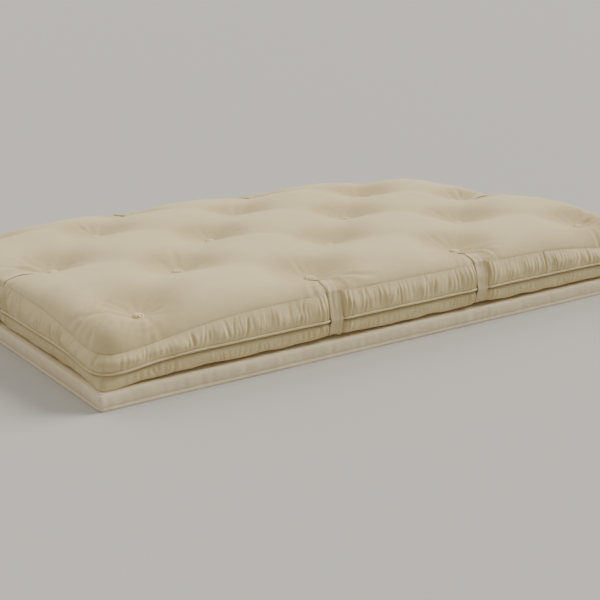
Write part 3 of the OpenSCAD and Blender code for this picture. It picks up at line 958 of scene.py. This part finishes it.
def strap_surface(strap):
    out, tuft, side = strap["out"], strap["tuft"], strap["side"]
    right = np.array([-out[1], out[0]])
    edge = float(np.abs(np.array([cloth_a[-1], cloth_b[-1]]) @ np.abs(out)))
    start = float(np.abs(tuft @ out)) + 0.010
    reach = np.linspace(start, edge - 0.001, 70)
    w = np.linspace(-1, 1, STRAP_ACROSS)
    from_tuft = reach - start + 0.010
    half = TAPE_HALF + (STRAP_HALF - TAPE_HALF) * smooth((from_tuft - 0.055) / 0.035)
    across = w[:, None] * half[None, :]
    flat = (reach[None, :, None] * out + across[..., None] * right + (tuft * np.abs(right))[None, None, :])
    over = on_top(flat[..., 0], flat[..., 1])
    places = strap["s"] + w * STRAP_HALF
    upper = on_band(side, "upper", places)[:, -2::-1][:, 1:]
    lower = on_band(side, "lower", places)[:, ::-1][:, 2:]
    bulge = upper[:, -1:] + np.array([*(out * (WELT_R * 1.5)), 0])
    bulge = np.concatenate([bulge + [0, 0, 0.002], bulge + [0, 0, -0.003]], 1)
    tucked = lower[:, -1:] + np.array([*(out * -0.012), -0.0005])
    path = np.concatenate([over, upper[:, :-1], bulge, lower, tucked], 1)[:, ::-1]
    middle = path.mean(0)
    along = np.gradient(middle, axis=0)
    normal = np.cross(np.array([*right, 0.0]), along)
    normal /= np.linalg.norm(normal, axis=1, keepdims=True)
    normal = np.broadcast_to(normal[None], path.shape)
    grid = taut(path, normal, STRAP_T + 0.0006, 26)
    step = np.linalg.norm(np.diff(grid.mean(0), axis=0), axis=1)
    length = np.concatenate([[0], np.cumsum(step)])
    lane = w[:, None] * np.ones(len(length))[None, :]
    narrow = 1 - smooth((length[-1] - length - 0.045) / 0.05)
    pleats = 0.0009 * np.sin(w * 13)[:, None] * narrow[None, :]
    creases = 0.0006 * waves(lane * 0.035, 0.12 * length[None, :] * np.ones_like(lane), 0.010, 0.03)
    dish = 0.0008 * (lane**2)
    grid = grid + normal * (pleats + creases + dish)[..., None]
    weave = np.stack([lane * STRAP_HALF, np.broadcast_to(length, lane.shape), 0 * lane], -1)
    return grid, weave, normal, length


for name, strap in STRAPS.items():
    grid, weave, normal, length = strap_surface(strap)
    tape = cloth_sheet(f"{name}_strap_tape", grid, weave, STRAP_T, slot="strap", material=STRAP_CLOTH)
    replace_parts(tape, f"{name}_strap")
    edge_rows = length < length[-1] - 0.075
    parts = []
    for lane in (2, STRAP_ACROSS - 3):
        parts.append(stitches(grid[lane, edge_rows], normal[lane, edge_rows], 0.004, 0.0022, 0.0005))
    row = int(np.argmin(np.abs(length - (length[-1] - 0.088))))
    for k in (row, row + 3):
        parts.append(stitches(grid[1:-1, k], normal[1:-1, k], 0.004, 0.0022, 0.0006))
    verts, faces = join(parts)
    make_object(f"{name}_strap_stitches", verts, faces, slot="strap", material=THREAD)

# ---- Tufts: wound rosettes of cotton yarn, tied through the mattress ----

TUFT_R = 0.0150
TUFT_SINK = 0.0020      # how far a rosette sinks into the casing


def rosette(x, y, z, down, tilt):
    """A button of yarn loops laid over one another, slightly domed."""
    parts, loops = [], 11
    flip = -1 if down else 1
    first_turn = rng.random() * 6.28
    for k in range(loops):
        turn = first_turn + k * 2 * math.pi / loops + rng.normal(0, 0.08)
        t = np.linspace(0, 2 * math.pi, 17)[:-1]
        reach = TUFT_R * rng.uniform(0.86, 1.04)
        u = reach * (0.5 - 0.5 * np.cos(t))
        v = reach * 0.36 * np.sin(t)
        high = 0.0050 * np.sin(math.pi * np.clip(u / reach, 0, 1)) + 0.0028 * (1 - u / reach)
        px = u * math.cos(turn) - v * math.sin(turn)
        py = u * math.sin(turn) + v * math.cos(turn)
        pz = (high + 0.0006 * (k % 3)) * flip
        pz = pz + tilt[0] * px + tilt[1] * py
        path = np.stack([x + px, y + py, z + pz], -1)
        parts.append(tube(path, 0.00205, 6))
    ball_t = np.linspace(0, 2 * math.pi, 13)[:-1]
    knot = np.stack([x + 0.004 * np.cos(ball_t), y + 0.004 * np.sin(ball_t),
                     z + (0.0062 + 0.001 * np.sin(2 * ball_t)) * flip], -1)
    parts.append(tube(knot, 0.0026, 6))
    dome_t = np.linspace(0, 2 * math.pi, 21)[:-1]
    for ring_r, ring_z in ((0.0105, 0.0012), (0.0070, 0.0030)):
        ring = np.stack([x + ring_r * np.cos(dome_t), y + ring_r * np.sin(dome_t),
                         z + ring_z * flip + 0 * dome_t], -1)
        ring[:, 2] += tilt[0] * (ring[:, 0] - x) + tilt[1] * (ring[:, 1] - y)
        parts.append(tube(ring, 0.0032, 6))
    return join(parts)


def seat_slope(x, y):
    """Slope of the hollow that a top tuft sits in."""
    r = 0.020
    h = [on_top(np.array([x + dx]), np.array([y + dy]))[0, 2]
         for dx, dy in ((r, 0), (-r, 0), (0, r), (0, -r))]
    return 0.5 * (h[0] - h[1]) / (2 * r), 0.5 * (h[2] - h[3]) / (2 * r)


top_parts, low_parts, twine_parts = [], [], []
for tx, ty in TUFTS:
    seat = on_top(np.array([tx]), np.array([ty]))[0, 2]
    top_parts.append(rosette(tx, ty, seat - TUFT_SINK, False, seat_slope(tx, ty)))
    low_parts.append(rosette(tx, ty, DIMPLE_Z - TUFT_SINK, True, (0, 0)))
    line = np.stack([np.full(24, tx), np.full(24, ty), np.linspace(DIMPLE_Z, seat, 24)], -1)
    angle = np.linspace(0, 30, 24)
    line[:, 0] += 0.0004 * np.cos(angle)
    line[:, 1] += 0.0004 * np.sin(angle)
    twine_parts.append(tube(line, TWINE_R, 6, closed=False, up=(1, 0, 0)))
solid("top_tufts", "tuft_rosettes_top", join(top_parts), "tuft", TUFT_YARN)
solid("bottom_tufts", "tuft_rosettes_bottom", join(low_parts), "tuft", TUFT_YARN)
solid("tuft_twine", "tuft_twine_lines", join(twine_parts), "thread", THREAD)

# ---- Filling: six layers of cotton batting, each following the quilted casing ----

LAYERS = 6
LAYER_GAP = 0.0006      # air between two layers, so that they stay clear of each other
LOWER_SHARE = 0.985     # the lowest layer's plan against the casing's


def batting_layers():
    step = 3
    # The filling lies under the lowest of the creases round each point, but stays near the casing
    lowest = top[..., 2]
    for axis in (0, 1):
        lowest = np.min([np.roll(lowest, shift, axis) for shift in (-2, -1, 0, 1, 2)], 0)
    under_cloth = top - top_normal * (TICKING_T + 0.0035)
    under_cloth[..., 2] -= np.minimum(top[..., 2] - lowest, 0.010)
    upper = under_cloth[::step, ::step].copy()
    # The filling stops short of the rim, where the seam allowances lie
    for axis in (0, 1):
        rim = smooth((np.abs(upper[..., axis]) - AXIS_RECT[axis]) / SHOULDER)
        upper[..., axis] -= np.sign(upper[..., axis]) * 0.009 * rim
    px = top[::step, ::step, 0] * LOWER_SHARE
    py = top[::step, ::step, 1] * LOWER_SHARE
    dimples = np.zeros(px.shape)
    for tx, ty in TUFTS:
        dimples = np.maximum(dimples, np.exp(-((np.hypot(px - tx, py - ty) / 0.035) ** 2)))
    base_z = BODY_Z + TICKING_T + 0.003 + (DIMPLE_Z - BODY_Z + 0.002) * dimples
    lower = np.stack([px, py, base_z], -1)
    return [lower * (1 - t) + upper * t for t in np.arange(LAYERS + 1) / LAYERS]


BATTS = batting_layers()
for k in range(LAYERS):
    high = BATTS[k + 1] - np.array([0, 0, LAYER_GAP])
    batt, _ = slab(f"batting_layer_{k + 1}", high, BATTS[k], slot="batting", material=BATTING)
    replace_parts(batt, f"cotton_batt_{k + 1}")

# ---- Base pad ----

PAD_R = 0.020
PAD_CENTRE = PAD_HALF - PAD_R
UNDER_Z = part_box("base_bottom_panel")[0].z
PAD_COLUMNS = [int(2 * half / 0.006) for half in PAD_CENTRE]
PAD_SIDES, PAD_AROUND = loop_columns(PAD_CENTRE, PAD_R, PAD_COLUMNS, 8)
PAD_CORNER = 3.6          # superellipse exponent of the corners
PAD_CORNERS = [PAD_SIDES[side][2][0] for side in SIDES]
PAD_LONG = periodic_noise(0.1, 0.9, 10, PAD_AROUND)
PAD_SHORT = periodic_noise(0.02, 0.07, 24, PAD_AROUND)
PAD_EDGE = periodic_noise(0.07, 0.4, 10, PAD_AROUND)
# Section of the pad's side from the bottom up: share of the height, and offset from its outer face
PAD_SECTION = ((0.0, -0.0026), (0.03, -0.0012), (0.12, -0.0008), (0.20, -0.0022), (0.23, -0.0034),
               (0.26, -0.0022), (0.40, -0.0006), (0.62, -0.0002), (0.80, -0.0012), (0.92, -0.0034),
               (1.0, -0.0080))


def pad_edge_z(s):
    corner = near_corner(s, EDGE_REACH, PAD_CORNERS, PAD_AROUND)
    return PAD_TOP - 0.0018 + 0.0008 * PAD_EDGE(s) - EDGE_DROP * corner


def pad_band(side):
    centre, theta, s = PAD_SIDES[side]
    v = np.linspace(0, 1, 26)
    shares, offsets = np.array(PAD_SECTION).T
    body = np.sin(math.pi * v) ** 0.6
    offset = np.interp(v, shares, offsets)[None, :] - 0.0008
    offset = offset + (0.0010 * PAD_LONG(s) + 0.0005 * PAD_SHORT(s))[:, None] * body - 0.0010 * body
    z = UNDER_Z + (pad_edge_z(s) - UNDER_Z)[:, None] * v[None, :]
    grid = ring(centre, theta, PAD_R + offset, np.full(len(v), PAD_CORNER), z)
    return grid, np.stack([np.broadcast_to(s[:, None], z.shape), z, np.zeros(z.shape)], -1)


def pad_face(inset, z_of, step):
    radius = PAD_R - inset
    px, py, _ = face_plan(PAD_CENTRE, radius, step, PAD_CORNER)
    depth = np.minimum((PAD_HALF[0] - np.abs(px)), (PAD_HALF[1] - np.abs(py)))
    return np.stack([px, py, z_of(px, py, depth)], -1)


def pad_top_z(px, py, depth):
    rise = 1 - np.exp(-np.maximum(depth - 0.008, 0) / 0.010)
    edge = pad_edge_z(place_along(px, py, PAD_CENTRE, PAD_R, PAD_SIDES))
    crown = PAD_TOP - 0.0004 - 0.0004 * np.abs(waves(px, py, 0.1, 0.4))
    return edge * (1 - rise) + crown * rise


def flat_weave(grid):
    return np.concatenate([grid[..., :2], np.zeros(grid.shape[:2] + (1,))], -1)


pad_top = pad_face(0.0088, pad_top_z, 0.012)
cover("base_top_panel", "pad_cover_top", pad_top, flat_weave(pad_top), PAD_CLOTH, "base_pad")
pad_low = pad_face(0.0058, lambda px, py, depth: UNDER_Z + 0 * px, 0.05)[:, ::-1]
cover("base_bottom_panel", "pad_cover_bottom", pad_low, flat_weave(pad_low), PAD_CLOTH, "base_pad")
HEM_ROW = 6             # row of the pad's side that the hem stitches follow
HEM_ROWS = []
for side in SIDES:
    grid, weave = pad_band(side)
    HEM_ROWS.append((grid[:-1, HEM_ROW], PAD_SIDES[side][1][:-1]))
    cover(f"base_{side}_band", f"pad_cover_{side}", grid, weave, PAD_CLOTH, "base_pad")
hem_path = np.concatenate([row for row, _ in HEM_ROWS])
hem_theta = np.concatenate([theta for _, theta in HEM_ROWS])
hem_out = np.stack([np.cos(hem_theta), np.sin(hem_theta), 0 * hem_theta], -1)
solid("base_hem_thread", "pad_hem_stitches",
      stitches(close_loop(hem_path), close_loop(hem_out), 0.0045, 0.0026, 0.0006), "thread", THREAD,
      body="base_pad")

# The pad's core: a crowned closed form of cotton that fills its cover
core_top = pad_face(0.014, lambda px, py, depth: pad_top_z(px, py, depth) - 0.0022, 0.02)
core_low = core_top.copy()
core_low[..., 2] = UNDER_Z + TICKING_T + 0.0006
core, _ = slab("pad_core_fill", core_top, core_low, body="base_pad", slot="batting", material=BATTING)
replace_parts(core, "base_core")

# ---- Floor, light and camera ----

bpy.ops.mesh.primitive_plane_add(size=120, location=(0, 0, UNDER_Z - 0.0002))
floor = bpy.context.object
floor.name = "floor"
floor_material, floor_tree, floor_bsdf, _ = node_maker("floor_plain")
feed(floor_tree, floor_bsdf, {"Base Color": (0.50, 0.49, 0.47, 1), "Roughness": 0.95})
floor.data.materials.append(floor_material)

world = bpy.data.worlds.new("studio")
bpy.context.scene.world = world
world.use_nodes = True
world.node_tree.nodes["Background"].inputs["Color"].default_value = (1.0, 0.92, 0.80, 1)
world.node_tree.nodes["Background"].inputs["Strength"].default_value = 0.40


def sun(name, place, strength, spread, colour):
    """A broad soft light from far away, shining from place towards the middle of the object."""
    data = bpy.data.lights.new(name, "SUN")
    data.energy, data.angle, data.color = strength, spread, colour
    light = bpy.data.objects.new(name, data)
    bpy.context.scene.collection.objects.link(light)
    light.location = place
    light.rotation_euler = Vector((0, 0, 1)).rotation_difference(Vector(place)).to_euler()


sun("key", (2.8, -0.25, 2.1), 3.8, 0.55, (1.0, 0.975, 0.93))
sun("back", (-0.6, 3.0, 2.6), 1.3, 0.80, (1.0, 0.97, 0.92))

YAW, PITCH, ROLL = math.radians(33.41), math.radians(15.71), -0.0223
forward = np.array([math.sin(YAW) * math.cos(PITCH), math.cos(YAW) * math.cos(PITCH), -math.sin(PITCH)])
flat_right = np.array([math.cos(YAW), -math.sin(YAW), 0.0])
true_up = np.cross(flat_right, forward)
right = math.cos(ROLL) * flat_right + math.sin(ROLL) * true_up
up = -math.sin(ROLL) * flat_right + math.cos(ROLL) * true_up
camera_data = bpy.data.cameras.new("camera")
camera_data.lens = 70.14
camera_data.sensor_width = 36
camera = bpy.data.objects.new("camera", camera_data)
bpy.context.scene.collection.objects.link(camera)
place = (-1.973, -3.099, 0.991)
camera.matrix_world = Matrix(((right[0], up[0], -forward[0], place[0]),
                              (right[1], up[1], -forward[1], place[1]),
                              (right[2], up[2], -forward[2], place[2]),
                              (0, 0, 0, 1)))
bpy.context.scene.camera = camera
